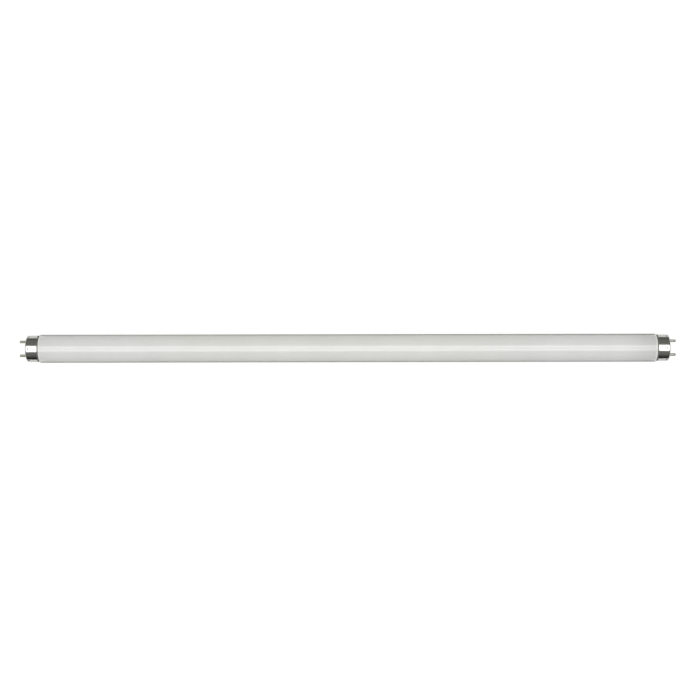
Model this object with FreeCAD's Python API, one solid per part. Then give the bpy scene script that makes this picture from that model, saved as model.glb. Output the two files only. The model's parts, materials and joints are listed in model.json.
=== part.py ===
"""A straight fluorescent lamp: a sealed glass tube with a two-pin metal cap on each end.

Lengths are in millimetres. The origin is the middle of the lamp, on its axis. +X runs along the tube and +Z is up,
and the two pins of each cap lie side by side in the XY plane. Sections are drawn for the right-hand end, as a depth
inward from the end face of the cap and a radius from the axis, and the left-hand end is the same end turned about Z.
"""

import FreeCAD, Part
import math
import os

from FreeCAD import Vector

# The lamp as a whole
face_to_face = 589.8            # between the end faces of the two caps
tube_diameter = 25.7
glass_wall = 0.5

# Cap shell, a cup drawn from thin aluminium sheet
cap_step = 0.65                 # the skirt lies this far inside the surface of the tube
cap_length = 10.8               # from the end face to the open rim
cap_wall = 0.3
cap_edge_radius = 1.3           # outside, between the skirt and the end face
cap_land = 0.9                  # flat ring of the end face, left around its window
rim_roll_radius = 0.7           # the open rim is rolled in towards the glass
rim_clearance = 0.05            # from the rolled rim to the neck of the glass

# Stakes, the small dents in the skirt that hold the insulating plate against the end face
stake_count = 6
stake_radius = 0.9              # of the round-nosed punch
stake_dent = 0.4                # depth of the dent
stake_clearance = 0.05          # from the dent's inner side to the plate

# Insulating plate, a stepped disc that fills the window and carries the pins
plate_thickness = 1.5           # of the flange behind the end face
plate_recess = 0.1              # of its outer face below the end face
plate_clearance = 0.1           # around it, in the shell and in the window

# Contact pins, hollow, with a collar outside the plate and a head riveted out of the shank behind it
pin_spacing = 12.7
pin_length = 7.1                # beyond the end face
pin_diameter = 2.35
pin_bore = 1.4
pin_tip_wall = 1.2
pin_tip_land = 0.05             # flat ring left around the wire at the tip
pin_shank_diameter = 1.9        # of the part that goes through the plate
pin_collar = 0.4                # width of the collar, and its thickness
pin_head_width = 0.85           # the head stands this far out around the shank
pin_head = 0.5                  # thickness of the head

# Lead wires, from the tip of each pin to the seal in the glass stem
lead_diameter = 0.6
lead_pin_clearance = 0.05       # around the wire in the tip of the pin
lead_stem_clearance = 0.8       # on both sides of the wire in the stem
lead_straight = 0.7             # straight run behind the pin's head
lead_bend_length = 8.0          # along the axis, over both bends
lead_seal = 6.0                 # length sealed into the glass

# Glass ends: the neck, its fused lip and the stem that runs back into the tube
cement_thickness = 0.3          # between the skirt and the neck
shoulder_radius = 0.75          # of both bends between the neck and the tube
shoulder_gap = 0.1              # from the rim of the cap to the first bend
cap_room = 2.6                  # between the insulating plate and the lip
lip_radius = 1.05
flare_length = 8.0
flare_wall = 0.9
stem_length = 20.0              # from the lip to the floor of the stem
press_thickness = 9.0           # solid glass behind that floor
press_edge_radius = 2.0
exhaust_diameter = 4.4          # of the exhaust tube in the middle of the stem, melted shut at its tip
exhaust_wall = 0.9
exhaust_setback = 2.6           # of its closed tip behind the lip

# Radii worked out from the values above
tube_radius = tube_diameter / 2
cap_radius = tube_radius - cap_step
skirt_bore_radius = cap_radius - cap_wall
window_radius = cap_radius - cap_edge_radius - cap_land
plate_radius = skirt_bore_radius - plate_clearance
neck_radius = skirt_bore_radius - cement_thickness
mouth_radius = neck_radius - 2 * lip_radius
pin_radius = pin_diameter / 2
pin_shank_radius = pin_shank_diameter / 2
lead_radius = lead_diameter / 2
exhaust_radius = exhaust_diameter / 2
lead_stem_offset = exhaust_radius + lead_stem_clearance + lead_radius
stem_bore_radius = lead_stem_offset + lead_radius + lead_stem_clearance
stem_radius = stem_bore_radius + flare_wall

# Depths worked out from the values above, inward from the end face
plate_back = cap_wall + plate_thickness
pin_inner_end = plate_back + pin_head
lip_depth = plate_back + cap_room
neck_start = lip_depth + lip_radius
flare_end = neck_start + flare_length
stem_floor = lip_depth + stem_length
press_end = stem_floor + press_thickness
exhaust_tip = lip_depth + exhaust_setback

# The rolled rim turns through the angle that brings its inner side to the neck
rim_angle = math.acos(1 - (cement_thickness - rim_clearance) / (rim_roll_radius - cap_wall))
rim_start = cap_length - rim_roll_radius * math.sin(rim_angle)

# The shoulder is two equal bends, one the other way from the other
shoulder_start = cap_length + shoulder_gap
shoulder_angle = math.acos(1 - (tube_radius - neck_radius) / (2 * shoulder_radius))
shoulder_end = shoulder_start + 2 * shoulder_radius * math.sin(shoulder_angle)

# The flare is one arc, tangent to the stem, that ends at the mouth
flare_rise = mouth_radius - stem_bore_radius
flare_radius = (flare_length ** 2 + flare_rise ** 2) / (2 * flare_rise)
flare_angle = math.asin(flare_length / flare_radius)
flare_centre = (flare_end, stem_bore_radius + flare_radius)

middle = Vector(0, 0, 0)
along = Vector(1, 0, 0)
up = Vector(0, 0, 1)


def place(depth, radius):
    """The point of a section at this depth from the right-hand end face and this radius."""
    return Vector(face_to_face / 2 - depth, radius, 0)


def around(centre, radius, angle):
    """Depth and radius of a point on a circle, with the angle measured from straight out towards deeper."""
    return centre[0] + radius * math.sin(angle), centre[1] + radius * math.cos(angle)


class Section:
    """The outline of a turned piece, drawn from point to point on one side of the lamp's axis."""

    def __init__(self, depth, radius):
        self.first = self.last = place(depth, radius)
        self.edges = []

    def line(self, depth, radius):
        """A straight edge to the next point."""
        end = place(depth, radius)
        self.edges.append(Part.LineSegment(self.last, end).toShape())
        self.last = end

    def arc(self, centre, radius, start, end):
        """An arc about a centre, from one angle to another."""
        through = place(*around(centre, radius, (start + end) / 2))
        end_point = place(*around(centre, radius, end))
        self.edges.append(Part.Arc(self.last, through, end_point).toShape())
        self.last = end_point

    def turned(self):
        """The solid that the closed outline makes when it is turned about the axis."""
        return turned_solid(self.edges + [Part.LineSegment(self.last, self.first).toShape()])

    def turned_with_both_ends(self):
        """The solid of an outline drawn from the axis to the tube, with the same end at the left."""
        left = [edge.mirror(middle, along) for edge in self.edges]
        wall = Part.LineSegment(self.last, mirrored(self.last)).toShape()
        axis = Part.LineSegment(self.first, mirrored(self.first)).toShape()
        return turned_solid(self.edges + left + [wall, axis])


def mirrored(point):
    """The same point at the left-hand end."""
    return Vector(-point.x, point.y, point.z)


def turned_solid(edges):
    """Turns a closed outline through a full circle about the lamp's axis."""
    outline = Part.Wire(Part.__sortEdges__(edges))
    return Part.Face(outline).revolve(middle, along, 360)


def draw_shoulder(section, inset):
    """Draws the shoulder from the neck to the tube, at this distance inside the outer surface of the glass."""
    neck_bend = (shoulder_start, neck_radius + shoulder_radius)
    tube_bend = (shoulder_end, tube_radius - shoulder_radius)
    section.line(shoulder_start, neck_radius - inset)
    section.arc(neck_bend, shoulder_radius + inset, math.pi, math.pi - shoulder_angle)
    section.arc(tube_bend, shoulder_radius - inset, -shoulder_angle, 0)


def glass_outside():
    """The glass with nothing hollow in it: exhaust tip, stem, flare, lip, neck, shoulder and tube."""
    outside = Section(exhaust_tip, 0)
    outside.arc((exhaust_tip + exhaust_radius, 0), exhaust_radius, -math.pi / 2, 0)
    outside.line(stem_floor, exhaust_radius)
    floor_radius = (stem_bore_radius - exhaust_radius) / 2
    outside.arc((stem_floor, exhaust_radius + floor_radius), floor_radius, math.pi, 0)
    outside.line(flare_end, stem_bore_radius)
    outside.arc(flare_centre, flare_radius, math.pi, math.pi + flare_angle)
    outside.arc((neck_start, mouth_radius + lip_radius), lip_radius, -math.pi, 0)
    draw_shoulder(outside, 0)
    return outside.turned_with_both_ends()


def glass_inside():
    """The sealed space: the exhaust bore, round the press and the stem to the back of the lip, and along the tube."""
    bore_radius = exhaust_radius - exhaust_wall
    inside = Section(exhaust_tip + exhaust_wall, 0)
    inside.arc((exhaust_tip + exhaust_radius, 0), bore_radius, -math.pi / 2, 0)
    inside.line(press_end, bore_radius)
    inside.line(press_end, stem_radius - press_edge_radius)
    press_corner = (press_end - press_edge_radius, stem_radius - press_edge_radius)
    inside.arc(press_corner, press_edge_radius, math.pi / 2, 0)
    inside.line(flare_end, stem_radius)
    back_angle = math.pi + flare_angle
    inside.arc(flare_centre, flare_radius - flare_wall, math.pi, back_angle)
    groove_depth = around(flare_centre, flare_radius - flare_wall, back_angle)[0]
    inside.line(groove_depth, neck_radius - glass_wall)
    draw_shoulder(inside, glass_wall)
    return inside.turned_with_both_ends()


def cap_shell():
    """The drawn cup, with a round window in its end, a rolled rim, and a ring of stakes in its skirt."""
    edge_centre = (cap_edge_radius, cap_radius - cap_edge_radius)
    rim_centre = (rim_start, cap_radius - rim_roll_radius)
    cup = Section(0, window_radius)
    cup.line(*around(edge_centre, cap_edge_radius, -math.pi / 2))
    cup.arc(edge_centre, cap_edge_radius, -math.pi / 2, 0)
    cup.line(rim_start, cap_radius)
    cup.arc(rim_centre, rim_roll_radius, 0, rim_angle)
    cup.line(*around(rim_centre, rim_roll_radius - cap_wall, rim_angle))
    cup.arc(rim_centre, rim_roll_radius - cap_wall, rim_angle, 0)
    cup.line(cap_edge_radius, skirt_bore_radius)
    cup.arc(edge_centre, cap_edge_radius - cap_wall, 0, -math.pi / 2)
    cup.line(cap_wall, window_radius)
    shell = cup.turned()

    # Each stake pushes the sheet in, so it adds a bump inside the skirt and takes a dent from its outside
    punch_radius = cap_radius + stake_radius - stake_dent
    hook = math.sqrt((stake_radius + cap_wall) ** 2 - (punch_radius - plate_radius) ** 2)
    stake_depth = plate_back + hook + stake_clearance
    inside_skirt = Part.makeCylinder(skirt_bore_radius + cap_wall / 2, cap_length, place(0, 0), -along)
    for stake in range(stake_count):
        punch = place(stake_depth, 0) + Vector(0, 0, punch_radius)
        bump = Part.makeSphere(stake_radius + cap_wall, punch).common(inside_skirt)
        dent = Part.makeSphere(stake_radius, punch)
        angle = 360 * stake / stake_count
        shell = shell.fuse(bump.rotated(middle, along, angle))
        shell = shell.cut(dent.rotated(middle, along, angle))
    return shell


def insulating_plate():
    """The stepped disc: a chamfered flange that fits the inside of the cup, and a face that fills the window."""
    corner = cap_edge_radius - cap_wall
    face_radius = window_radius - plate_clearance
    disc = Section(plate_recess, 0)
    disc.line(plate_recess, face_radius)
    disc.line(cap_wall, face_radius)
    disc.line(cap_wall, plate_radius - corner)
    disc.line(cap_wall + corner, plate_radius)
    disc.line(plate_back, plate_radius)
    disc.line(plate_back, 0)
    plate = disc.turned()
    for side in (-1, 1):
        hole = Part.makeCylinder(pin_shank_radius, plate_back, place(0, 0), -along)
        plate = plate.cut(hole.translated(Vector(0, side * pin_spacing / 2, 0)))
    return plate


def contact_pin(side):
    """A hollow pin with a rounded tip, a collar on the plate's face, and a shank riveted behind the plate."""
    wire_hole = lead_radius + lead_pin_clearance
    tip_radius = pin_radius - wire_hole - pin_tip_land
    tip_corner = (tip_radius - pin_length, pin_radius - tip_radius)
    pin = Section(-pin_length, wire_hole)
    pin.line(*around(tip_corner, tip_radius, -math.pi / 2))
    pin.arc(tip_corner, tip_radius, -math.pi / 2, 0)
    pin.line(plate_recess - pin_collar, pin_radius)
    pin.line(plate_recess, pin_radius + pin_collar)
    pin.line(plate_recess, pin_shank_radius)
    pin.line(plate_back, pin_shank_radius)
    pin.line(plate_back, pin_shank_radius + pin_head_width)
    pin.line(pin_inner_end, pin_shank_radius)
    pin.line(pin_inner_end, pin_bore / 2)
    pin.line(pin_tip_wall - pin_length, pin_bore / 2)
    pin.line(pin_tip_wall - pin_length, wire_hole)
    return pin.turned().translated(Vector(0, side * pin_spacing / 2, 0))


def lead_wire(side):
    """The wire from the tip of a pin, bent in towards the axis, and on into the glass at the floor of the stem."""
    bend_start = pin_inner_end + lead_straight
    bend_end = bend_start + lead_bend_length
    outer = pin_spacing / 2
    inner = lead_stem_offset
    shift = outer - inner
    bend_radius = (lead_bend_length ** 2 + shift ** 2) / (4 * shift)
    bend_angle = math.asin(lead_bend_length / 2 / bend_radius)
    route = Section(-pin_length, outer)
    route.line(bend_start, outer)
    route.arc((bend_start, outer - bend_radius), bend_radius, 0, bend_angle)
    route.arc((bend_end, inner + bend_radius), bend_radius, math.pi + bend_angle, math.pi)
    route.line(stem_floor + lead_seal, inner)
    section = Part.Wire(Part.makeCircle(lead_radius, place(-pin_length, outer), along))
    wire = Part.Wire(route.edges).makePipeShell([section], True, False)
    return wire.rotated(middle, along, 0 if side > 0 else 180)


def cement_ring():
    """The cement between the skirt of the cap and the neck of the glass, up to the rolled rim."""
    length = rim_start - neck_start
    ring = Part.makeCylinder(skirt_bore_radius, length, place(neck_start, 0), -along)
    return ring.cut(Part.makeCylinder(neck_radius, length, place(neck_start, 0), -along))


# Every piece of both ends; the turn that carries an end to the left also swaps its front, at -Y, and its rear
ends = {
    "right": (0, {-1: "front", 1: "rear"}),
    "left": (180, {-1: "rear", 1: "front"}),
}
pieces = {}
for end, (turn, sides) in ends.items():
    made = {
        "cap_shell": cap_shell(),
        "insulating_plate": insulating_plate(),
        "cap_cement": cement_ring(),
    }
    for side, side_name in sides.items():
        made[f"{side_name}_pin"] = contact_pin(side)
        made[f"{side_name}_lead_wire"] = lead_wire(side)
    for name, shape in made.items():
        pieces[f"{end}_{name}"] = shape.rotated(middle, up, turn)

# The glass is one closed piece, with a seat melted round the end of each lead wire
glass = glass_outside().cut(glass_inside())
for name, shape in pieces.items():
    if name.endswith("lead_wire"):
        glass = glass.cut(shape)
pieces["glass_tube"] = glass

os.makedirs("parts", exist_ok=True)
for name, shape in pieces.items():
    shape.exportStep(f"parts/{name}.step")
    print(f"{name}: {len(shape.Solids)} solid, {shape.Volume:.1f} mm3, valid {shape.isValid()}")
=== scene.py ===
# %% [markdown]
# # A fluorescent tube, dressed for its photograph
#
# A fluorescent lamp is a sealed glass tube with a white powder on the inside of its wall. A bright metal cup
# closes each end and carries two contact pins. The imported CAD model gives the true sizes. This script builds
# the pieces that the eye meets first again, finer and smoother, gives every piece its material, and lights
# the scene.
#
# The origin is the middle of the lamp. +X runs along the tube to the right-hand cap, and +Z is up.

# %% Load the frame
import json
import math

import bpy
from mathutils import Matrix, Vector

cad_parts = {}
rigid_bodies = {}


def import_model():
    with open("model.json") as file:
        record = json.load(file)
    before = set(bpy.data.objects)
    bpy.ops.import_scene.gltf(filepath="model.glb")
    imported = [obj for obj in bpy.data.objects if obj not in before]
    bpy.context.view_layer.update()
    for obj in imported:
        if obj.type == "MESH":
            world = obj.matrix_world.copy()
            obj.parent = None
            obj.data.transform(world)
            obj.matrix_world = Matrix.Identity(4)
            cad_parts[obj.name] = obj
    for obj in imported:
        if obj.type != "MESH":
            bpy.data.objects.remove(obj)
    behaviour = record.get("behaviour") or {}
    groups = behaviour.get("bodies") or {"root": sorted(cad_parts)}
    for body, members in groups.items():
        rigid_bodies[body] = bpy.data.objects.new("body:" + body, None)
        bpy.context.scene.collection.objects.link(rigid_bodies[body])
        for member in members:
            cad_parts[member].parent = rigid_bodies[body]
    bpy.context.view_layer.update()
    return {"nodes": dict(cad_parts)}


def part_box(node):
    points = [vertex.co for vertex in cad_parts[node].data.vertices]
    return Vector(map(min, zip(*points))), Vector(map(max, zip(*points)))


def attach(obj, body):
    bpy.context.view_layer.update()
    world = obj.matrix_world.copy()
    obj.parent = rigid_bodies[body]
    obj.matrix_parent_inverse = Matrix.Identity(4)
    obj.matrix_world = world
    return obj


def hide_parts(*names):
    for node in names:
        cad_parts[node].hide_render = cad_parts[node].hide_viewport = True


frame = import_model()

MM = 0.001

# %% [markdown]
# ## Sizes
#
# The places that the frame knows are read from it, so that the new pieces lie exactly where the solids are.
# The sizes that a box can't tell, such as the radius of an edge, are repeated here in millimetres.

# %% Sizes read from the frame, and the rest in millimetres
END_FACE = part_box("right_cap_shell")[1].x / MM
TUBE_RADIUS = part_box("glass_tube")[1].y / MM
CAP_LENGTH = END_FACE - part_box("right_cap_shell")[0].x / MM
PIN_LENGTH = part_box("right_rear_pin")[1].x / MM - END_FACE
PIN_PLACE = (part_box("right_rear_pin")[0].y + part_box("right_rear_pin")[1].y) / 2 / MM
FLOOR_HEIGHT = -TUBE_RADIUS * MM

CAP_RADIUS = 12.2
CAP_WALL = 0.3
CAP_EDGE = 1.3
WINDOW_RADIUS = 10.0
CEMENT = 0.3
RIM_CLEARANCE = 0.05
RIM_ROLL = 0.7
RIM_ANGLE = math.acos(1 - (CEMENT - RIM_CLEARANCE) / (RIM_ROLL - CAP_WALL))
NECK_RADIUS = CAP_RADIUS - CAP_WALL - CEMENT
SHOULDER_START = 10.9
SHOULDER_RADIUS = 0.75
GLASS_WALL = 0.5
print(f"end face at {END_FACE:.2f}, tube radius {TUBE_RADIUS:.2f}")
print(f"pins at {PIN_PLACE:.2f}, {PIN_LENGTH:.2f} long")

# %% [markdown]
# ## Outlines to turn
#
# Glass, caps and pins are all round, and on the real lamp they are made by turning, drawing or spinning.
# Here each one is an outline drawn on one side of its axis and spun through a full circle. A point of an
# outline is a depth, inward from the end face of the cap, and a radius. A bend is a short run of points on
# an arc.

# %% Points of an outline
HALF_TURN = math.pi
QUARTER_TURN = math.pi / 2


def bend(centre_depth, centre_radius, radius, start, end, steps):
    """Points on an arc, with angles in radians from straight out towards deeper."""
    points = []
    for step in range(steps + 1):
        angle = start + (end - start) * step / steps
        points.append((centre_depth + radius * math.sin(angle), centre_radius + radius * math.cos(angle)))
    return points


def run(start, end, steps):
    """Evenly spaced points on a straight line, without its first point."""
    points = []
    for step in range(1, steps + 1):
        share = step / steps
        points.append((start[0] + (end[0] - start[0]) * share, start[1] + (end[1] - start[1]) * share))
    return points


sample = bend(0, 0, 1, 0, QUARTER_TURN, 2)
print("a quarter bend in two steps:", [(round(depth, 2), round(radius, 2)) for depth, radius in sample])

# %% [markdown]
# ## Spinning an outline
#
# The outline starts as a small plane that is merged to one point and moved to its place. Extruding that
# point again and again draws the outline, and the spin operator turns it into a skin. Doubles are merged
# where the turn closes and on the axis. A cavity is a skin too, with its faces turned the other way, towards
# the hollow.

# %% Draw and spin
MERGE_DISTANCE = MM / 1000


def in_frame(point, axis_place):
    """The place in the frame of a point of an outline for the right-hand end."""
    return ((END_FACE - point[0]) * MM, (axis_place + point[1]) * MM, 0)


def spin_outline(points, steps, axis_place, cavity):
    """Draws one outline in the mesh that is being edited, and spins it about an axis along X."""
    bpy.ops.mesh.select_all(action="DESELECT")
    bpy.ops.mesh.primitive_plane_add(size=MM)
    bpy.ops.mesh.merge(type="CENTER")
    places = [in_frame(point, axis_place) for point in points]
    bpy.ops.transform.translate(value=places[0])
    for here, there in zip(places, places[1:]):
        step = [b - a for a, b in zip(here, there)]
        bpy.ops.mesh.extrude_region_move(TRANSFORM_OT_translate={"value": step})
    bpy.ops.mesh.select_linked()
    bpy.ops.mesh.spin(steps=steps, angle=math.tau, center=(0, axis_place * MM, 0), axis=(1, 0, 0))
    bpy.ops.mesh.select_linked()
    bpy.ops.mesh.remove_doubles(threshold=MERGE_DISTANCE)
    bpy.ops.mesh.normals_make_consistent(inside=cavity)


def turned_piece(name, outlines, steps, axis_place=0):
    """A new piece from one or more outlines, each given with whether it is a cavity."""
    bpy.ops.object.select_all(action="DESELECT")
    bpy.ops.mesh.primitive_plane_add(size=MM)
    piece = bpy.context.object
    piece.name = piece.data.name = name
    bpy.ops.object.mode_set(mode="EDIT")
    bpy.ops.mesh.select_mode(type="VERT")
    bpy.ops.mesh.delete(type="VERT")
    for points, cavity in outlines:
        spin_outline(points, steps, axis_place, cavity)
    bpy.ops.object.mode_set(mode="OBJECT")
    return piece


print("points closer than", MERGE_DISTANCE / MM, "mm are merged")

# %% [markdown]
# A finished piece is shaded smooth, with its sharp edges kept. It rides on the one body of the lamp, and it
# stands in for the solid in the same place. A bevel on each edge could soften the shading too, but the
# outlines have their real bends already, so shading by angle is enough.

# %% Finish a piece
SHARP_ANGLE = math.radians(30)


def finish_piece(piece, node, material):
    """Shades a piece smooth between its sharp edges, and lets it stand for its CAD node with its finish."""
    bpy.ops.object.select_all(action="DESELECT")
    piece.select_set(True)
    bpy.context.view_layer.objects.active = piece
    bpy.ops.object.shade_smooth_by_angle(angle=SHARP_ANGLE)
    piece.data.materials.clear()
    piece.data.materials.append(material)
    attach(piece, "root")
    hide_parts(node)
    print(f"{piece.name}: {len(piece.data.polygons)} faces, for {node}")


print(f"edges sharper than {math.degrees(SHARP_ANGLE):.0f} degrees stay sharp")

# %% [markdown]
# ## Colours and nodes
#
# Colours are written as they look on a screen, and one function turns them to the linear values that light
# needs. One small function adds a node, sets it and links it, so that a material reads as a list of its
# nodes. Patterns are sized in real millimetres on Object coordinates, so they stay with the piece.

# %% Colour and node helpers
# Several sockets of the Mix node share a name, so those for colours are given by number.
MIX_A = 6
MIX_B = 7
MIX_RESULT = 2


def hex_colour(text):
    """Linear red, green, blue and alpha from an sRGB hex value."""
    shares = [int(text[place:place + 2], 16) / 255 for place in (1, 3, 5)]
    linear = [share / 12.92 if share <= 0.04045 else ((share + 0.055) / 1.055) ** 2.4 for share in shares]
    return linear + [1]


def per_metre(millimetres):
    """The texture scale at which one repeat is this long."""
    return 1 / (millimetres * MM)


def add_node(tree, kind, inputs, **settings):
    """Adds a node with its settings, and a value or a link for each input."""
    node = tree.nodes.new(kind)
    for name, value in settings.items():
        setattr(node, name, value)
    for name, value in inputs.items():
        if isinstance(value, bpy.types.NodeSocket):
            tree.links.new(value, node.inputs[name])
        else:
            node.inputs[name].default_value = value
    return node


def start_material(name):
    """A new material, its node tree and its shader."""
    material = bpy.data.materials.new(name)
    material.use_nodes = True
    tree = material.node_tree
    print("material:", name)
    return material, tree, tree.nodes["Principled BSDF"]


WHITE = hex_colour("#ffffff")
print("white in linear light:", WHITE)

# %% [markdown]
# ## Powder-coated glass
#
# The tube is clear drawn soda-lime glass, and the white is a matt powder on the inside of its wall. So the
# eye gets two things: a soft, even grey-white from the powder, and a sharp reflection from the smooth glass
# over it. A clear shell with a white skin inside could show both, but it would render slowly and with much
# noise. One shader with the colour of the powder and the gloss of the glass gives the same look.
#
# The powder goes in as a wet coat that runs and dries, so it is a little blotchy. The tube is also drawn a
# shade warmer in the middle, most of all along the rear side. A noise mixes the two greys of the blotches,
# and the place along and across the tube sets how much of the warm tint is laid over them.

# %% Coated glass: the powder and its warm middle
GLASS_IOR = 1.52
POWDER_COLOURS = ("#cccdca", "#d5d5d3")
BLOTCH_SIZE = 22
BLOTCH_DETAIL = 3
COAT_SHIFT = 12
WARM_TINT = "#fffef9"
WARM_FADE = (230, 90)
REAR_FADE = (1, 12)
FRONT_WARMTH = 0.4

powder_glass, tree, shader = start_material("drawn_glass_with_powder_coat")
shader.inputs["IOR"].default_value = GLASS_IOR
place = add_node(tree, "ShaderNodeTexCoord", {})
blotches = add_node(tree, "ShaderNodeTexNoise", {
    "Vector": place.outputs["Object"],
    "Scale": per_metre(BLOTCH_SIZE),
    "Detail": BLOTCH_DETAIL,
})
powder = add_node(tree, "ShaderNodeMix", {
    "Factor": blotches.outputs["Fac"],
    MIX_A: hex_colour(POWDER_COLOURS[0]),
    MIX_B: hex_colour(POWDER_COLOURS[1]),
}, data_type="RGBA")
axes = add_node(tree, "ShaderNodeSeparateXYZ", {"Vector": place.outputs["Object"]})
shifted = add_node(tree, "ShaderNodeMath", {0: axes.outputs["X"], 1: COAT_SHIFT * MM}, operation="ADD")
from_middle = add_node(tree, "ShaderNodeMath", {0: shifted.outputs[0]}, operation="ABSOLUTE")
middle_stretch = add_node(tree, "ShaderNodeMapRange", {
    "Value": from_middle.outputs[0],
    "From Min": WARM_FADE[0] * MM,
    "From Max": WARM_FADE[1] * MM,
}, interpolation_type="SMOOTHSTEP")
rear_side = add_node(tree, "ShaderNodeMapRange", {
    "Value": axes.outputs["Y"],
    "From Min": REAR_FADE[0] * MM,
    "From Max": REAR_FADE[1] * MM,
    "To Min": FRONT_WARMTH,
}, interpolation_type="SMOOTHSTEP")
warmth = add_node(tree, "ShaderNodeMath", {
    0: middle_stretch.outputs[0],
    1: rear_side.outputs[0],
}, operation="MULTIPLY")
warmed = add_node(tree, "ShaderNodeMix", {
    "Factor": warmth.outputs[0],
    MIX_A: powder.outputs[MIX_RESULT],
    MIX_B: hex_colour(WARM_TINT),
}, data_type="RGBA", blend_type="MULTIPLY")
print(f"blotches of {BLOTCH_SIZE} mm, warm within {WARM_FADE[1]} mm of the middle")

# %% [markdown]
# With use, the powder turns greyer over the last few centimetres. Round the shoulders it is drawn paler, a
# painted highlight where the bend of the glass catches the light. It is wiped off the necks before they are
# sealed, and the bare neck is drawn dark grey: painted shade in the gap under the rim of the cap. Each of
# these could be a material of its own, with a hard border. A mix over the last one, with the place along the
# tube as its factor, can fade.

# %% Coated glass: the ends
GREY_FADE = (256, 304)
GREY_MOST = 0.65
GREY_COLOUR = "#b6b7b3"
SHOULDER_HIGHLIGHT_FADE = (3, 1.4)
SHOULDER_HIGHLIGHT_COLOUR = "#d8d8d4"
WIPED_EDGE = 0.45
WIPED_NECK_SHADE = "#4c4c48"
neck_place = END_FACE - SHOULDER_START

near_end = add_node(tree, "ShaderNodeMapRange", {
    "Value": from_middle.outputs[0],
    "From Min": GREY_FADE[0] * MM,
    "From Max": GREY_FADE[1] * MM,
    "To Max": GREY_MOST,
}, interpolation_type="SMOOTHSTEP")
ends_greyed = add_node(tree, "ShaderNodeMix", {
    "Factor": near_end.outputs[0],
    MIX_A: warmed.outputs[MIX_RESULT],
    MIX_B: hex_colour(GREY_COLOUR),
}, data_type="RGBA")
from_origin = add_node(tree, "ShaderNodeMath", {0: axes.outputs["X"]}, operation="ABSOLUTE")
# Painted highlight: the powder is drawn paler round the bend of the shoulder, where the glass catches the
# light.
shoulder_highlight_mask = add_node(tree, "ShaderNodeMapRange", {
    "Value": from_origin.outputs[0],
    "From Min": (neck_place - SHOULDER_HIGHLIGHT_FADE[0]) * MM,
    "From Max": (neck_place - SHOULDER_HIGHLIGHT_FADE[1]) * MM,
}, interpolation_type="SMOOTHSTEP")
shoulder_highlighted_powder = add_node(tree, "ShaderNodeMix", {
    "Factor": shoulder_highlight_mask.outputs[0],
    MIX_A: ends_greyed.outputs[MIX_RESULT],
    MIX_B: hex_colour(SHOULDER_HIGHLIGHT_COLOUR),
}, data_type="RGBA")
# Painted shade: the bare neck is drawn dark grey, for the shade in the gap under the rim of the cap.
wiped = add_node(tree, "ShaderNodeMath", {
    0: from_origin.outputs[0],
    1: (neck_place - WIPED_EDGE) * MM,
}, operation="GREATER_THAN")
neck_wiped_and_shaded = add_node(tree, "ShaderNodeMix", {
    "Factor": wiped.outputs[0],
    MIX_A: shoulder_highlighted_powder.outputs[MIX_RESULT],
    MIX_B: hex_colour(WIPED_NECK_SHADE),
}, data_type="RGBA")
print(f"powder wiped off beyond {neck_place - WIPED_EDGE:.2f} mm from the middle")

# %% [markdown]
# Where the tube is seen edge on, a Layer Weight node darkens the powder towards an olive grey: painted shade
# that draws a dark outline along the tube, with the faint olive tint of soda-lime glass in it.
# The surface is nearly smooth: handling dulls it in places, and drawing the tube has left long shallow
# waves, which make the reflections wander a little.

# %% Coated glass: the painted edge shade, the gloss and the waves
EDGE_SHADE_TINT = "#6b6b56"
EDGE_SHADE_FADE = (0.58, 0.82)
EDGE_SHADE_MOST = 0.45
GLASS_ROUGHNESS = (0.02, 0.06)
HANDLING_SIZE = 35
HANDLING_DETAIL = 4
WAVE_SIZE = 9
WAVE_DETAIL = 1
WAVE_STRETCH = 0.1
WAVE_HEIGHT = 0.2
WAVE_STRENGTH = 0.25

# Painted shade: where the tube is seen edge on, the powder colour is darkened towards an olive grey.
facing = add_node(tree, "ShaderNodeLayerWeight", {})
painted_edge_shade = add_node(tree, "ShaderNodeMapRange", {
    "Value": facing.outputs["Facing"],
    "From Min": EDGE_SHADE_FADE[0],
    "From Max": EDGE_SHADE_FADE[1],
    "To Max": EDGE_SHADE_MOST,
}, interpolation_type="SMOOTHSTEP")
edge_shaded_colour = add_node(tree, "ShaderNodeMix", {
    "Factor": painted_edge_shade.outputs[0],
    MIX_A: neck_wiped_and_shaded.outputs[MIX_RESULT],
    MIX_B: hex_colour(EDGE_SHADE_TINT),
}, data_type="RGBA")
tree.links.new(edge_shaded_colour.outputs[MIX_RESULT], shader.inputs["Base Color"])
handling = add_node(tree, "ShaderNodeTexNoise", {
    "Vector": place.outputs["Object"],
    "Scale": per_metre(HANDLING_SIZE),
    "Detail": HANDLING_DETAIL,
})
gloss = add_node(tree, "ShaderNodeMapRange", {
    "Value": handling.outputs["Fac"],
    "To Min": GLASS_ROUGHNESS[0],
    "To Max": GLASS_ROUGHNESS[1],
})
tree.links.new(gloss.outputs[0], shader.inputs["Roughness"])
stretched = add_node(tree, "ShaderNodeMapping", {
    "Vector": place.outputs["Object"],
    "Scale": (WAVE_STRETCH, 1, 1),
})
draw_waves = add_node(tree, "ShaderNodeTexNoise", {
    "Vector": stretched.outputs[0],
    "Scale": per_metre(WAVE_SIZE),
    "Detail": WAVE_DETAIL,
})
waves = add_node(tree, "ShaderNodeBump", {
    "Height": draw_waves.outputs["Fac"],
    "Strength": WAVE_STRENGTH,
    "Distance": WAVE_HEIGHT * MM,
})
tree.links.new(waves.outputs[0], shader.inputs["Normal"])
print(f"glass roughness {GLASS_ROUGHNESS}, waves {WAVE_SIZE} mm wide")

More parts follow.
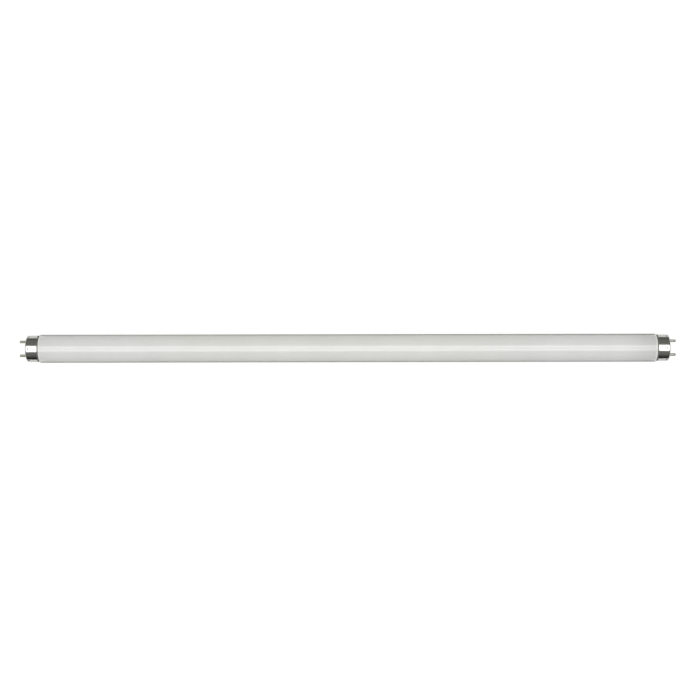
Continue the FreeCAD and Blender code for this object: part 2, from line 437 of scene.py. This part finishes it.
# %% [markdown]
# ## Bright drawn aluminium
#
# The caps are deep-drawn from bright aluminium sheet. The metal mirrors what is around it in long bands,
# dark and light, and fine lines along the axis, left by the drawing tool, blur those bands a little. Real
# lines are some hundredths of a millimetre apart. They are drawn here 0.7 mm apart, as fine as the picture
# can show. An anisotropic shader could blur the bands too, but a noise that is stretched along the axis
# shows the lines as well.

# %% Material: bright drawn aluminium
SHEET_COLOURS = ("#c4c4bf", "#cfcfcb")
SHEET_ROUGHNESS = (0.08, 0.22)
STAIN_SIZE = 5
STAIN_DETAIL = 3
LINE_SPACING = 0.7
LINE_DETAIL = 2
LINE_STRETCH = 0.05
LINE_HEIGHT = 0.02
LINE_STRENGTH = 0.3

bright_aluminium, tree, shader = start_material("bright_drawn_aluminium")
shader.inputs["Metallic"].default_value = 1
place = add_node(tree, "ShaderNodeTexCoord", {})
along_draw = add_node(tree, "ShaderNodeMapping", {
    "Vector": place.outputs["Object"],
    "Scale": (LINE_STRETCH, 1, 1),
})
draw_lines = add_node(tree, "ShaderNodeTexNoise", {
    "Vector": along_draw.outputs[0],
    "Scale": per_metre(LINE_SPACING),
    "Detail": LINE_DETAIL,
})
stains = add_node(tree, "ShaderNodeTexNoise", {
    "Vector": place.outputs["Object"],
    "Scale": per_metre(STAIN_SIZE),
    "Detail": STAIN_DETAIL,
})
sheet_colour = add_node(tree, "ShaderNodeMix", {
    "Factor": stains.outputs["Fac"],
    MIX_A: hex_colour(SHEET_COLOURS[0]),
    MIX_B: hex_colour(SHEET_COLOURS[1]),
}, data_type="RGBA")
tree.links.new(sheet_colour.outputs[MIX_RESULT], shader.inputs["Base Color"])
sheet_gloss = add_node(tree, "ShaderNodeMapRange", {
    "Value": draw_lines.outputs["Fac"],
    "To Min": SHEET_ROUGHNESS[0],
    "To Max": SHEET_ROUGHNESS[1],
})
tree.links.new(sheet_gloss.outputs[0], shader.inputs["Roughness"])
drawn = add_node(tree, "ShaderNodeBump", {
    "Height": draw_lines.outputs["Fac"],
    "Strength": LINE_STRENGTH,
    "Distance": LINE_HEIGHT * MM,
})
tree.links.new(drawn.outputs[0], shader.inputs["Normal"])
print(f"draw lines {LINE_SPACING} mm apart, stains of {STAIN_SIZE} mm")

# %% [markdown]
# ## Dulled brass
#
# The pins are drawn brass, handled and dulled by air, so they are olive rather than yellow and only half
# shiny. The pins of the left-hand cap are the yellower ones. Two materials could give the two colours, but
# one whose colour follows the place along the lamp keeps the pins alike in all else. Tarnish is a noise that
# darkens and dulls them in spots.

# %% Material: dulled brass
LEFT_BRASS = "#a0a28e"
RIGHT_BRASS = "#a5a59f"
LAMP_REACH = 300
TARNISH_COLOUR = "#74756a"
TARNISH_SIZE = 1.6
TARNISH_DETAIL = 4
TARNISH_FADE = (0.4, 0.75)
TARNISH_MOST = 0.6
BRASS_ROUGHNESS = (0.2, 0.45)

dulled_brass, tree, shader = start_material("drawn_brass_dulled")
shader.inputs["Metallic"].default_value = 1
place = add_node(tree, "ShaderNodeTexCoord", {})
axes = add_node(tree, "ShaderNodeSeparateXYZ", {"Vector": place.outputs["Object"]})
rightness = add_node(tree, "ShaderNodeMapRange", {
    "Value": axes.outputs["X"],
    "From Min": -LAMP_REACH * MM,
    "From Max": LAMP_REACH * MM,
})
end_tint = add_node(tree, "ShaderNodeMix", {
    "Factor": rightness.outputs[0],
    MIX_A: hex_colour(LEFT_BRASS),
    MIX_B: hex_colour(RIGHT_BRASS),
}, data_type="RGBA")
tarnish_spots = add_node(tree, "ShaderNodeTexNoise", {
    "Vector": place.outputs["Object"],
    "Scale": per_metre(TARNISH_SIZE),
    "Detail": TARNISH_DETAIL,
})
tarnish = add_node(tree, "ShaderNodeMapRange", {
    "Value": tarnish_spots.outputs["Fac"],
    "From Min": TARNISH_FADE[0],
    "From Max": TARNISH_FADE[1],
    "To Max": TARNISH_MOST,
})
brass_colour = add_node(tree, "ShaderNodeMix", {
    "Factor": tarnish.outputs[0],
    MIX_A: end_tint.outputs[MIX_RESULT],
    MIX_B: hex_colour(TARNISH_COLOUR),
}, data_type="RGBA")
tree.links.new(brass_colour.outputs[MIX_RESULT], shader.inputs["Base Color"])
brass_gloss = add_node(tree, "ShaderNodeMapRange", {
    "Value": tarnish_spots.outputs["Fac"],
    "To Min": BRASS_ROUGHNESS[0],
    "To Max": BRASS_ROUGHNESS[1],
})
tree.links.new(brass_gloss.outputs[0], shader.inputs["Roughness"])
print(f"brass from {LEFT_BRASS} on the left to {RIGHT_BRASS} on the right")

# %% [markdown]
# ## The glass tube
#
# One piece of glass: the exhaust tip, the stem that runs back into the tube, the rolled lip, the neck inside
# the cap, the shoulder and the tube itself. The outline is drawn for the right-hand half and spun, once for
# the outer skin and once for the sealed hollow, and a Mirror modifier makes the other half. A cylinder with
# bevelled ends would be quicker, but it would lack the neck, and the outline gives every bend its radius.

# %% Sizes of the glass
LIP_DEPTH = 4.4
LIP_RADIUS = 1.05
NECK_START = LIP_DEPTH + LIP_RADIUS
MOUTH_RADIUS = NECK_RADIUS - 2 * LIP_RADIUS
EXHAUST_TIP = 7.0
EXHAUST_RADIUS = 2.2
EXHAUST_WALL = 0.9
STEM_BORE = 4.4
STEM_WALL = 0.9
STEM_FLOOR = 24.4
PRESS_END = 33.4
PRESS_EDGE = 2.0
FLARE_LENGTH = 8.0
FLARE_END = NECK_START + FLARE_LENGTH
FLARE_RISE = MOUTH_RADIUS - STEM_BORE
FLARE_RADIUS = ((FLARE_END - NECK_START) ** 2 + FLARE_RISE ** 2) / (2 * FLARE_RISE)
FLARE_ANGLE = math.asin((FLARE_END - NECK_START) / FLARE_RADIUS)
SHOULDER_ANGLE = math.acos(1 - (TUBE_RADIUS - NECK_RADIUS) / (2 * SHOULDER_RADIUS))
SHOULDER_END = SHOULDER_START + 2 * SHOULDER_RADIUS * math.sin(SHOULDER_ANGLE)
print(f"shoulder from {SHOULDER_START:.2f} to {SHOULDER_END:.2f}, flare radius {FLARE_RADIUS:.2f}")

# %% Model the glass
SKIN_STEPS = 160
STRAIGHT_STEPS = 14
SHOULDER_STEPS = 8
LIP_STEPS = 8
STEM_STEPS = 6
PRESS_STEPS = 4


def shoulder(inset):
    """The two bends from the neck to the tube, this far inside the outer skin, and half of the tube."""
    neck_bend = bend(SHOULDER_START, NECK_RADIUS + SHOULDER_RADIUS, SHOULDER_RADIUS + inset,
                     HALF_TURN, HALF_TURN - SHOULDER_ANGLE, SHOULDER_STEPS)
    tube_bend = bend(SHOULDER_END, TUBE_RADIUS - SHOULDER_RADIUS, SHOULDER_RADIUS - inset,
                     -SHOULDER_ANGLE, 0, SHOULDER_STEPS)
    straight = run(tube_bend[-1], (END_FACE, TUBE_RADIUS - inset), STRAIGHT_STEPS)
    return neck_bend + tube_bend[1:] + straight


def flare(inset):
    """The bend that opens the stem to the mouth, this far inside the outer skin."""
    return bend(FLARE_END, STEM_BORE + FLARE_RADIUS, FLARE_RADIUS - inset,
                HALF_TURN, HALF_TURN + FLARE_ANGLE, STEM_STEPS)


def exhaust_end(inset):
    """The rounded tip of the exhaust tube, this far inside the outer skin."""
    return bend(EXHAUST_TIP + EXHAUST_RADIUS, 0, EXHAUST_RADIUS - inset, -QUARTER_TURN, 0, STEM_STEPS)


floor_bend = (STEM_BORE - EXHAUST_RADIUS) / 2
outer_skin = exhaust_end(0)
outer_skin += bend(STEM_FLOOR, EXHAUST_RADIUS + floor_bend, floor_bend, HALF_TURN, 0, STEM_STEPS)
outer_skin += flare(0)
outer_skin += bend(NECK_START, MOUTH_RADIUS + LIP_RADIUS, LIP_RADIUS, -HALF_TURN, 0, LIP_STEPS)[1:]
outer_skin += shoulder(0)

hollow = exhaust_end(EXHAUST_WALL)
hollow += [(PRESS_END, EXHAUST_RADIUS - EXHAUST_WALL)]
hollow += bend(PRESS_END - PRESS_EDGE, STEM_BORE + STEM_WALL - PRESS_EDGE, PRESS_EDGE,
               QUARTER_TURN, 0, PRESS_STEPS)
hollow += flare(STEM_WALL)
hollow += [(hollow[-1][0], NECK_RADIUS - GLASS_WALL)]
hollow += shoulder(GLASS_WALL)

glass = turned_piece("coated_glass", [(outer_skin, False), (hollow, True)], SKIN_STEPS)
mirror = glass.modifiers.new("other_half", "MIRROR")
mirror.merge_threshold = MERGE_DISTANCE
bpy.ops.object.modifier_apply(modifier=mirror.name)
finish_piece(glass, "glass_tube", powder_glass)

# %% [markdown]
# ## The caps
#
# Each cap is a cup drawn from sheet 0.3 mm thick: a flat ring around a window, a rounded edge, a skirt, and
# a rim that is rolled in against the glass. Six stakes, small dents pushed in by a round-nosed punch, hold
# the insulating plate. The cup is spun with closely spaced rings where the stakes are.

# %% Model the right-hand cap
CAP_STEPS = 240
EDGE_STEPS = 10
INNER_EDGE_STEPS = 8
RIM_STEPS = 6
SKIRT_STEPS = 4
STAKE_ZONE = (1.6, 3.7)
STAKE_RINGS = 12
rim_start = CAP_LENGTH - RIM_ROLL * math.sin(RIM_ANGLE)


def skirt(radius):
    """Points along the skirt, close together where the stakes are."""
    zone_start, zone_end = (STAKE_ZONE[0], radius), (STAKE_ZONE[1], radius)
    beyond = run(zone_end, (rim_start, radius), SKIRT_STEPS)[:-1]
    return [zone_start] + run(zone_start, zone_end, STAKE_RINGS) + beyond


cup = [(0, WINDOW_RADIUS)]
cup += bend(CAP_EDGE, CAP_RADIUS - CAP_EDGE, CAP_EDGE, -QUARTER_TURN, 0, EDGE_STEPS)
cup += skirt(CAP_RADIUS)
cup += bend(rim_start, CAP_RADIUS - RIM_ROLL, RIM_ROLL, 0, RIM_ANGLE, RIM_STEPS)
cup += bend(rim_start, CAP_RADIUS - RIM_ROLL, RIM_ROLL - CAP_WALL, RIM_ANGLE, 0, RIM_STEPS)
cup += skirt(CAP_RADIUS - CAP_WALL)[::-1]
cup += bend(CAP_EDGE, CAP_RADIUS - CAP_EDGE, CAP_EDGE - CAP_WALL, 0, -QUARTER_TURN, INNER_EDGE_STEPS)
cup += [(CAP_WALL, WINDOW_RADIUS), (0, WINDOW_RADIUS)]
right_cap = turned_piece("right_drawn_cap", [(cup, False)], CAP_STEPS)
print(f"{right_cap.name}: an outline of {len(cup)} points, spun in {CAP_STEPS} steps")

# %% [markdown]
# Each stake is pushed in with proportional editing, which moves the points round it by less and less, as a
# punch does. Dents could be cut out with a Boolean modifier, but that would leave sharp edges, and a punch
# leaves none.

# %% Push in the stakes
STAKES = 6
STAKE_DEPTH = 2.64
STAKE_DENT = 0.4
STAKE_REACH = 0.85

for stake in range(STAKES):
    angle = math.tau * stake / STAKES
    outward = (0, math.sin(angle), math.cos(angle))
    target = ((END_FACE - STAKE_DEPTH) * MM, outward[1] * CAP_RADIUS * MM, outward[2] * CAP_RADIUS * MM)
    bpy.ops.object.mode_set(mode="EDIT")
    bpy.ops.mesh.select_all(action="DESELECT")
    bpy.ops.object.mode_set(mode="OBJECT")
    nearest = min(right_cap.data.vertices, key=lambda corner: (corner.co - Vector(target)).length)
    nearest.select = True
    bpy.ops.object.mode_set(mode="EDIT")
    bpy.ops.transform.translate(value=[-STAKE_DENT * MM * share for share in outward],
                                use_proportional_edit=True, proportional_edit_falloff="INVERSE_SQUARE",
                                proportional_size=STAKE_REACH * MM)
    bpy.ops.object.mode_set(mode="OBJECT")
print(f"{right_cap.name}: {STAKES} stakes, {len(right_cap.data.vertices)} points")

# %% [markdown]
# The two ends of the lamp are alike, so the left-hand cap is a copy with a mesh of its own, turned half
# round about the upright axis. The pins will be copied the same way.

# %% Copy the cap for the left-hand end
def turned_copy(piece, name):
    """A copy with its own mesh, turned half round about the upright axis to the other end."""
    bpy.ops.object.select_all(action="DESELECT")
    piece.select_set(True)
    bpy.context.view_layer.objects.active = piece
    bpy.ops.object.duplicate(linked=False)
    other = bpy.context.object
    other.name = other.data.name = name
    bpy.ops.transform.rotate(value=HALF_TURN, orient_axis="Z", center_override=(0, 0, 0))
    bpy.ops.object.transform_apply()
    return other


left_cap = turned_copy(right_cap, "left_drawn_cap")
finish_piece(right_cap, "right_cap_shell", bright_aluminium)
finish_piece(left_cap, "left_cap_shell", bright_aluminium)

# %% [markdown]
# ## The pins
#
# A pin is a drawn brass tube, closed to a rounded tip around its lead wire, with a collar on the plate and a
# shank that is riveted over behind it. A cylinder with a bevelled end could pass for it from far off. The
# outline has the collar, the bore and the riveted end too. One pin is spun about its own axis, and the
# others are copies.

# %% Model one pin
PIN_STEPS = 48
TIP_STEPS = 8
BARREL_STEPS = 4
PIN_RADIUS = 1.175
PIN_BORE = 0.7
PIN_SHANK = 0.95
PIN_HEAD = 1.8
WIRE_HOLE = 0.35
TIP_ROUND = 0.775
TIP_WALL = 1.2
COLLAR = 0.4
PLATE_FACE = 0.1
PLATE_BACK = 1.8
PIN_END = 2.3

outline = [(-PIN_LENGTH, WIRE_HOLE)]
outline += bend(TIP_ROUND - PIN_LENGTH, PIN_RADIUS - TIP_ROUND, TIP_ROUND, -QUARTER_TURN, 0, TIP_STEPS)
outline += run(outline[-1], (PLATE_FACE - COLLAR, PIN_RADIUS), BARREL_STEPS)
outline += [(PLATE_FACE, PIN_RADIUS + COLLAR), (PLATE_FACE, PIN_SHANK)]
outline += [(PLATE_BACK, PIN_SHANK), (PLATE_BACK, PIN_HEAD), (PIN_END, PIN_SHANK), (PIN_END, PIN_BORE)]
outline += [(TIP_WALL - PIN_LENGTH, PIN_BORE), (TIP_WALL - PIN_LENGTH, WIRE_HOLE), outline[0]]
right_rear = turned_piece("right_rear_contact", [(outline, False)], PIN_STEPS, PIN_PLACE)
print(f"{right_rear.name}: an outline of {len(outline)} points, spun in {PIN_STEPS} steps")

# %% Copy the pin
bpy.ops.object.duplicate(linked=False)
right_front = bpy.context.object
right_front.name = right_front.data.name = "right_front_contact"
bpy.ops.transform.translate(value=(0, -2 * PIN_PLACE * MM, 0))
bpy.ops.object.transform_apply()
left_front = turned_copy(right_rear, "left_front_contact")
left_rear = turned_copy(right_front, "left_rear_contact")
for pin, node in ((right_rear, "right_rear_pin"), (right_front, "right_front_pin"),
                  (left_front, "left_front_pin"), (left_rear, "left_rear_pin")):
    finish_piece(pin, node, dulled_brass)

# %% [markdown]
# ## Pieces that stay as the frame gives them
#
# The insulating plates, the cement and the lead wires have the right shape already. Only their finish
# changes. The plates are brown moulded phenolic, whose filler shows as a fine fleck and breaks up its gloss.

# %% Material: phenolic board
BOARD_COLOURS = ("#3a2a20", "#5c4534")
BOARD_ROUGHNESS = (0.4, 0.65)
FLECK_SIZE = 0.8
FLECK_DETAIL = 5

phenolic, tree, shader = start_material("moulded_phenolic_board")
place = add_node(tree, "ShaderNodeTexCoord", {})
fleck = add_node(tree, "ShaderNodeTexNoise", {
    "Vector": place.outputs["Object"],
    "Scale": per_metre(FLECK_SIZE),
    "Detail": FLECK_DETAIL,
})
board_colour = add_node(tree, "ShaderNodeMix", {
    "Factor": fleck.outputs["Fac"],
    MIX_A: hex_colour(BOARD_COLOURS[0]),
    MIX_B: hex_colour(BOARD_COLOURS[1]),
}, data_type="RGBA")
tree.links.new(board_colour.outputs[MIX_RESULT], shader.inputs["Base Color"])
board_gloss = add_node(tree, "ShaderNodeMapRange", {
    "Value": fleck.outputs["Fac"],
    "To Min": BOARD_ROUGHNESS[0],
    "To Max": BOARD_ROUGHNESS[1],
})
tree.links.new(board_gloss.outputs[0], shader.inputs["Roughness"])
print(f"fleck of {FLECK_SIZE} mm")

# %% [markdown]
# The cement is a pale, gritty resin mix that has been baked hard, so it is matt all over. The lead wires are
# plated, and the plating is dull in patches.

# %% Materials: cement and wire
CEMENT_COLOURS = ("#c9c0aa", "#e0d8c4")
CEMENT_ROUGHNESS = 0.9
GRIT_SIZE = 0.5
GRIT_DETAIL = 4
WIRE_COLOURS = ("#a8a59c", "#c6c3ba")
WIRE_ROUGHNESS = (0.25, 0.45)
PLATING_SIZE = 0.6
PLATING_DETAIL = 3

cement, tree, shader = start_material("cured_cap_cement")
shader.inputs["Roughness"].default_value = CEMENT_ROUGHNESS
place = add_node(tree, "ShaderNodeTexCoord", {})
grit = add_node(tree, "ShaderNodeTexNoise", {
    "Vector": place.outputs["Object"],
    "Scale": per_metre(GRIT_SIZE),
    "Detail": GRIT_DETAIL,
})
cement_colour = add_node(tree, "ShaderNodeMix", {
    "Factor": grit.outputs["Fac"],
    MIX_A: hex_colour(CEMENT_COLOURS[0]),
    MIX_B: hex_colour(CEMENT_COLOURS[1]),
}, data_type="RGBA")
tree.links.new(cement_colour.outputs[MIX_RESULT], shader.inputs["Base Color"])

wire, tree, shader = start_material("plated_lead_wire")
shader.inputs["Metallic"].default_value = 1
place = add_node(tree, "ShaderNodeTexCoord", {})
plating = add_node(tree, "ShaderNodeTexNoise", {
    "Vector": place.outputs["Object"],
    "Scale": per_metre(PLATING_SIZE),
    "Detail": PLATING_DETAIL,
})
wire_colour = add_node(tree, "ShaderNodeMix", {
    "Factor": plating.outputs["Fac"],
    MIX_A: hex_colour(WIRE_COLOURS[0]),
    MIX_B: hex_colour(WIRE_COLOURS[1]),
}, data_type="RGBA")
tree.links.new(wire_colour.outputs[MIX_RESULT], shader.inputs["Base Color"])
wire_gloss = add_node(tree, "ShaderNodeMapRange", {
    "Value": plating.outputs["Fac"],
    "To Min": WIRE_ROUGHNESS[0],
    "To Max": WIRE_ROUGHNESS[1],
})
tree.links.new(wire_gloss.outputs[0], shader.inputs["Roughness"])

# %% Give these pieces their finish
finishes = {"insulating_plate": phenolic, "cap_cement": cement, "lead_wire": wire}
for name, node in frame["nodes"].items():
    for ending, finish in finishes.items():
        if name.endswith(ending):
            node.material_slots[0].material = finish
            print(f"{name}: {finish.name}")

# %% [markdown]
# ## The floor and the white ground
#
# The lamp lies on a white sweep. To the camera, and in gloss and glass, the sweep is mostly plain white with
# a little of its own shading, so it stays white and keeps a faint shadow. Further off, the shading fades to
# plain white. For all other light it is a plain white floor. More light on the floor could turn it white
# too, but it would wash out the lamp.

# %% Stage: the white sweep
SWEEP_COLOUR = "#f2f2f2"
SWEEP_ROUGHNESS = 0.9
SWEEP_GLOW = 0.80
SWEEP_GLOW_IN_GLOSS = 0.58
SWEEP_SHADING = 0.28
SHADED_REACH = 0.5
WHITE_REACH = 1.6


def shown(tree, rays):
    """A value that is 1 for what the camera, gloss and glass show, and 0 for all other light."""
    camera_or_gloss = add_node(tree, "ShaderNodeMath", {
        0: rays.outputs["Is Camera Ray"],
        1: rays.outputs["Is Glossy Ray"],
    }, operation="MAXIMUM")
    with_glass = add_node(tree, "ShaderNodeMath", {
        0: camera_or_gloss.outputs[0],
        1: rays.outputs["Is Transmission Ray"],
    }, operation="MAXIMUM")
    return with_glass.outputs[0]


sweep, tree, shader = start_material("white_paper_sweep")
shader.inputs["Base Color"].default_value = hex_colour(SWEEP_COLOUR)
shader.inputs["Roughness"].default_value = SWEEP_ROUGHNESS
rays = add_node(tree, "ShaderNodeLightPath", {})
shading = add_node(tree, "ShaderNodeBsdfDiffuse", {"Color": [SWEEP_SHADING] * 3 + [1]})
glow_level = add_node(tree, "ShaderNodeMapRange", {
    "Value": rays.outputs["Is Glossy Ray"],
    "To Min": SWEEP_GLOW,
    "To Max": SWEEP_GLOW_IN_GLOSS,
})
glow = add_node(tree, "ShaderNodeEmission", {"Color": WHITE, "Strength": glow_level.outputs[0]})
near_lamp = add_node(tree, "ShaderNodeAddShader", {0: shading.outputs[0], 1: glow.outputs[0]})
far_off = add_node(tree, "ShaderNodeEmission", {"Color": WHITE, "Strength": 1})
place = add_node(tree, "ShaderNodeTexCoord", {})
from_lamp = add_node(tree, "ShaderNodeVectorMath", {0: place.outputs["Object"]}, operation="LENGTH")
farness = add_node(tree, "ShaderNodeMapRange", {
    "Value": from_lamp.outputs["Value"],
    "From Min": SHADED_REACH,
    "From Max": WHITE_REACH,
}, interpolation_type="SMOOTHSTEP")
white = add_node(tree, "ShaderNodeMixShader", {
    0: farness.outputs[0],
    1: near_lamp.outputs[0],
    2: far_off.outputs[0],
})
chosen = add_node(tree, "ShaderNodeMixShader", {
    0: shown(tree, rays),
    1: shader.outputs[0],
    2: white.outputs[0],
})
tree.links.new(chosen.outputs[0], tree.nodes["Material Output"].inputs["Surface"])
print(f"shading up to {SHADED_REACH} m from the lamp, white from {WHITE_REACH} m")

# %% Stage: the floor and the world
FLOOR_SIZE = 12
AMBIENT = 0.55

bpy.ops.object.select_all(action="DESELECT")
bpy.ops.mesh.primitive_plane_add(size=FLOOR_SIZE, location=(0, 0, FLOOR_HEIGHT))
floor = bpy.context.object
floor.name = "floor"
floor.data.materials.append(sweep)

world = bpy.data.worlds.new("white_studio")
bpy.context.scene.world = world
world.use_nodes = True
tree = world.node_tree
rays = add_node(tree, "ShaderNodeLightPath", {})
level = add_node(tree, "ShaderNodeMapRange", {"Value": shown(tree, rays), "To Min": AMBIENT, "To Max": 1})
background = tree.nodes["Background"]
background.inputs["Color"].default_value = WHITE
tree.links.new(level.outputs[0], background.inputs["Strength"])
print("floor at", round(FLOOR_HEIGHT / MM, 2), "mm")

# %% [markdown]
# ## The lights
#
# A long soft box hangs over the lamp, a little to the front. Two rows of tubes behind its cloth make two
# brighter strips, so the glass shows a soft double line of light with a fainter border. An even soft box
# would show as one broad line with hard edges. Each light is given by how bright it looks, and its power
# follows from its size.

# %% Lights
BOX_HEIGHT = 1.2
BOX_LENGTH = 1.6
BOX_HALF_ANGLE = 26
BOX_SHIFT = -0.045
BOX_RADIANCE = 1.1
STRIP_ANGLES = (5, 16)
STRIP_RADIANCE = 2.1
STRIP_DROP = 0.01


def across(angle, height):
    """How far to the side a place at this height lies, seen from the lamp at an angle from straight up."""
    return height * math.tan(math.radians(angle))


def soft_light(name, near, far, height, radiance):
    """A rectangular light over the lamp, between two places across the tube."""
    width = far - near
    bpy.ops.object.light_add(type="AREA", location=(0, (near + far) / 2 + BOX_SHIFT, height))
    light = bpy.context.object
    light.name = name
    light.data.shape = "RECTANGLE"
    light.data.size = BOX_LENGTH
    light.data.size_y = width
    light.data.energy = radiance * math.pi * BOX_LENGTH * width
    light.visible_camera = False
    print(f"{name}: {width:.3f} m wide, {light.data.energy:.2f} W")


box_edge = across(BOX_HALF_ANGLE, BOX_HEIGHT)
soft_light("soft_box", -box_edge, box_edge, BOX_HEIGHT, BOX_RADIANCE)
strip_height = BOX_HEIGHT - STRIP_DROP
inner, outer = [across(angle, strip_height) for angle in STRIP_ANGLES]
soft_light("rear_strip", inner, outer, strip_height, STRIP_RADIANCE)
soft_light("front_strip", -outer, -inner, strip_height, STRIP_RADIANCE)

# %% [markdown]
# ## Flags and cards
#
# Bright metal shows only what is around it, so dark flags on both sides give the caps their dark bands. They
# are a little brighter at the top than at the foot. Two black cards lie along the tube, because smooth glass
# seen edge on mirrors what lies beside it: that is how photographers draw a dark outline round glass on a
# white ground. Flags and cards show only in reflections.

# %% Flags beside the lamp
FLAG_LENGTH = 1.8
FLAG_HIGH = 0.2
FLAG_FOOT = {"rear_flag": 0.085, "front_flag": 0.068}
FLAG_LOW = {"rear_flag": 0.11, "front_flag": 0.015}
FLAG_FADE = {"rear_flag": 0.05, "front_flag": 0.085}
FLAG_COLOUR = {"rear_flag": "#fbfbf3", "front_flag": "#fbfbf9"}


def reflected_sheet(name, length, edges, material):
    """A flat sheet between two lines along the lamp, each given by Y and Z, which only reflections show."""
    bpy.ops.object.select_all(action="DESELECT")
    bpy.ops.mesh.primitive_plane_add(size=1)
    sheet = bpy.context.object
    sheet.name = name
    ends = (-length / 2, length / 2)
    corners = [(x, y, z) for y, z in edges for x in ends]
    for corner, corner_place in zip(sheet.data.vertices, corners):
        corner.co = corner_place
    sheet.data.materials.append(material)
    sheet.visible_camera = False
    sheet.visible_diffuse = False
    sheet.visible_shadow = False
    sheet.visible_transmission = False
    print(f"{name}: {length} m long")


for name, side in (("rear_flag", 1), ("front_flag", -1)):
    flag_cloth, tree = start_material(name + "_cloth")[:2]
    place = add_node(tree, "ShaderNodeTexCoord", {})
    axes = add_node(tree, "ShaderNodeSeparateXYZ", {"Vector": place.outputs["Object"]})
    fade = add_node(tree, "ShaderNodeMapRange", {
        "Value": axes.outputs["Z"],
        "From Min": FLOOR_HEIGHT,
        "From Max": FLAG_FADE[name],
        "To Min": FLAG_LOW[name],
        "To Max": FLAG_HIGH,
    }, interpolation_type="SMOOTHSTEP")
    dim = add_node(tree, "ShaderNodeEmission", {
        "Color": hex_colour(FLAG_COLOUR[name]),
        "Strength": fade.outputs[0],
    })
    tree.links.new(dim.outputs[0], tree.nodes["Material Output"].inputs["Surface"])
    foot = (side * FLAG_FOOT[name], FLOOR_HEIGHT)
    top = (side * box_edge + BOX_SHIFT, BOX_HEIGHT)
    reflected_sheet(name, FLAG_LENGTH, (foot, top), flag_cloth)

# %% Cards along the tube
CARD_LENGTH = 0.572
CARD_EDGES = (0.014, 0.06)
CARD_LIFT = 0.0002
CARD_COLOUR = "#1c1c1b"
CARD_ROUGHNESS = 0.95

black_card, tree, shader = start_material("matt_black_card")
shader.inputs["Base Color"].default_value = hex_colour(CARD_COLOUR)
shader.inputs["Roughness"].default_value = CARD_ROUGHNESS
for name, side in (("rear_card", 1), ("front_card", -1)):
    edges = [(side * edge, FLOOR_HEIGHT + CARD_LIFT) for edge in CARD_EDGES]
    reflected_sheet(name, CARD_LENGTH, edges, black_card)

# %% [markdown]
# ## The camera
#
# The photograph looks straight at the side of the lamp, so the camera hangs straight above it. It stands
# 1.35 m away. From further off, through a longer lens, the round edges of the caps would look a little
# flatter. It is turned a tenth of a degree, because the right-hand end lies a little higher in the picture.

# %% Camera
VIEW_WIDTH = 0.64106
CAMERA_HEIGHT = 1.35
CAMERA_PLACE = (0.0002, 0.00022, CAMERA_HEIGHT)
CAMERA_ROLL = -0.109
SENSOR_WIDTH = 36
bpy.ops.object.camera_add(location=CAMERA_PLACE, rotation=(0, 0, math.radians(CAMERA_ROLL)))
camera = bpy.context.object
camera.data.sensor_width = SENSOR_WIDTH
camera.data.lens = SENSOR_WIDTH * CAMERA_HEIGHT / VIEW_WIDTH
scene = bpy.context.scene
scene.camera = camera
scene.view_settings.view_transform = "Standard"
print(f"camera at {CAMERA_HEIGHT} m with a {camera.data.lens:.1f} mm lens")
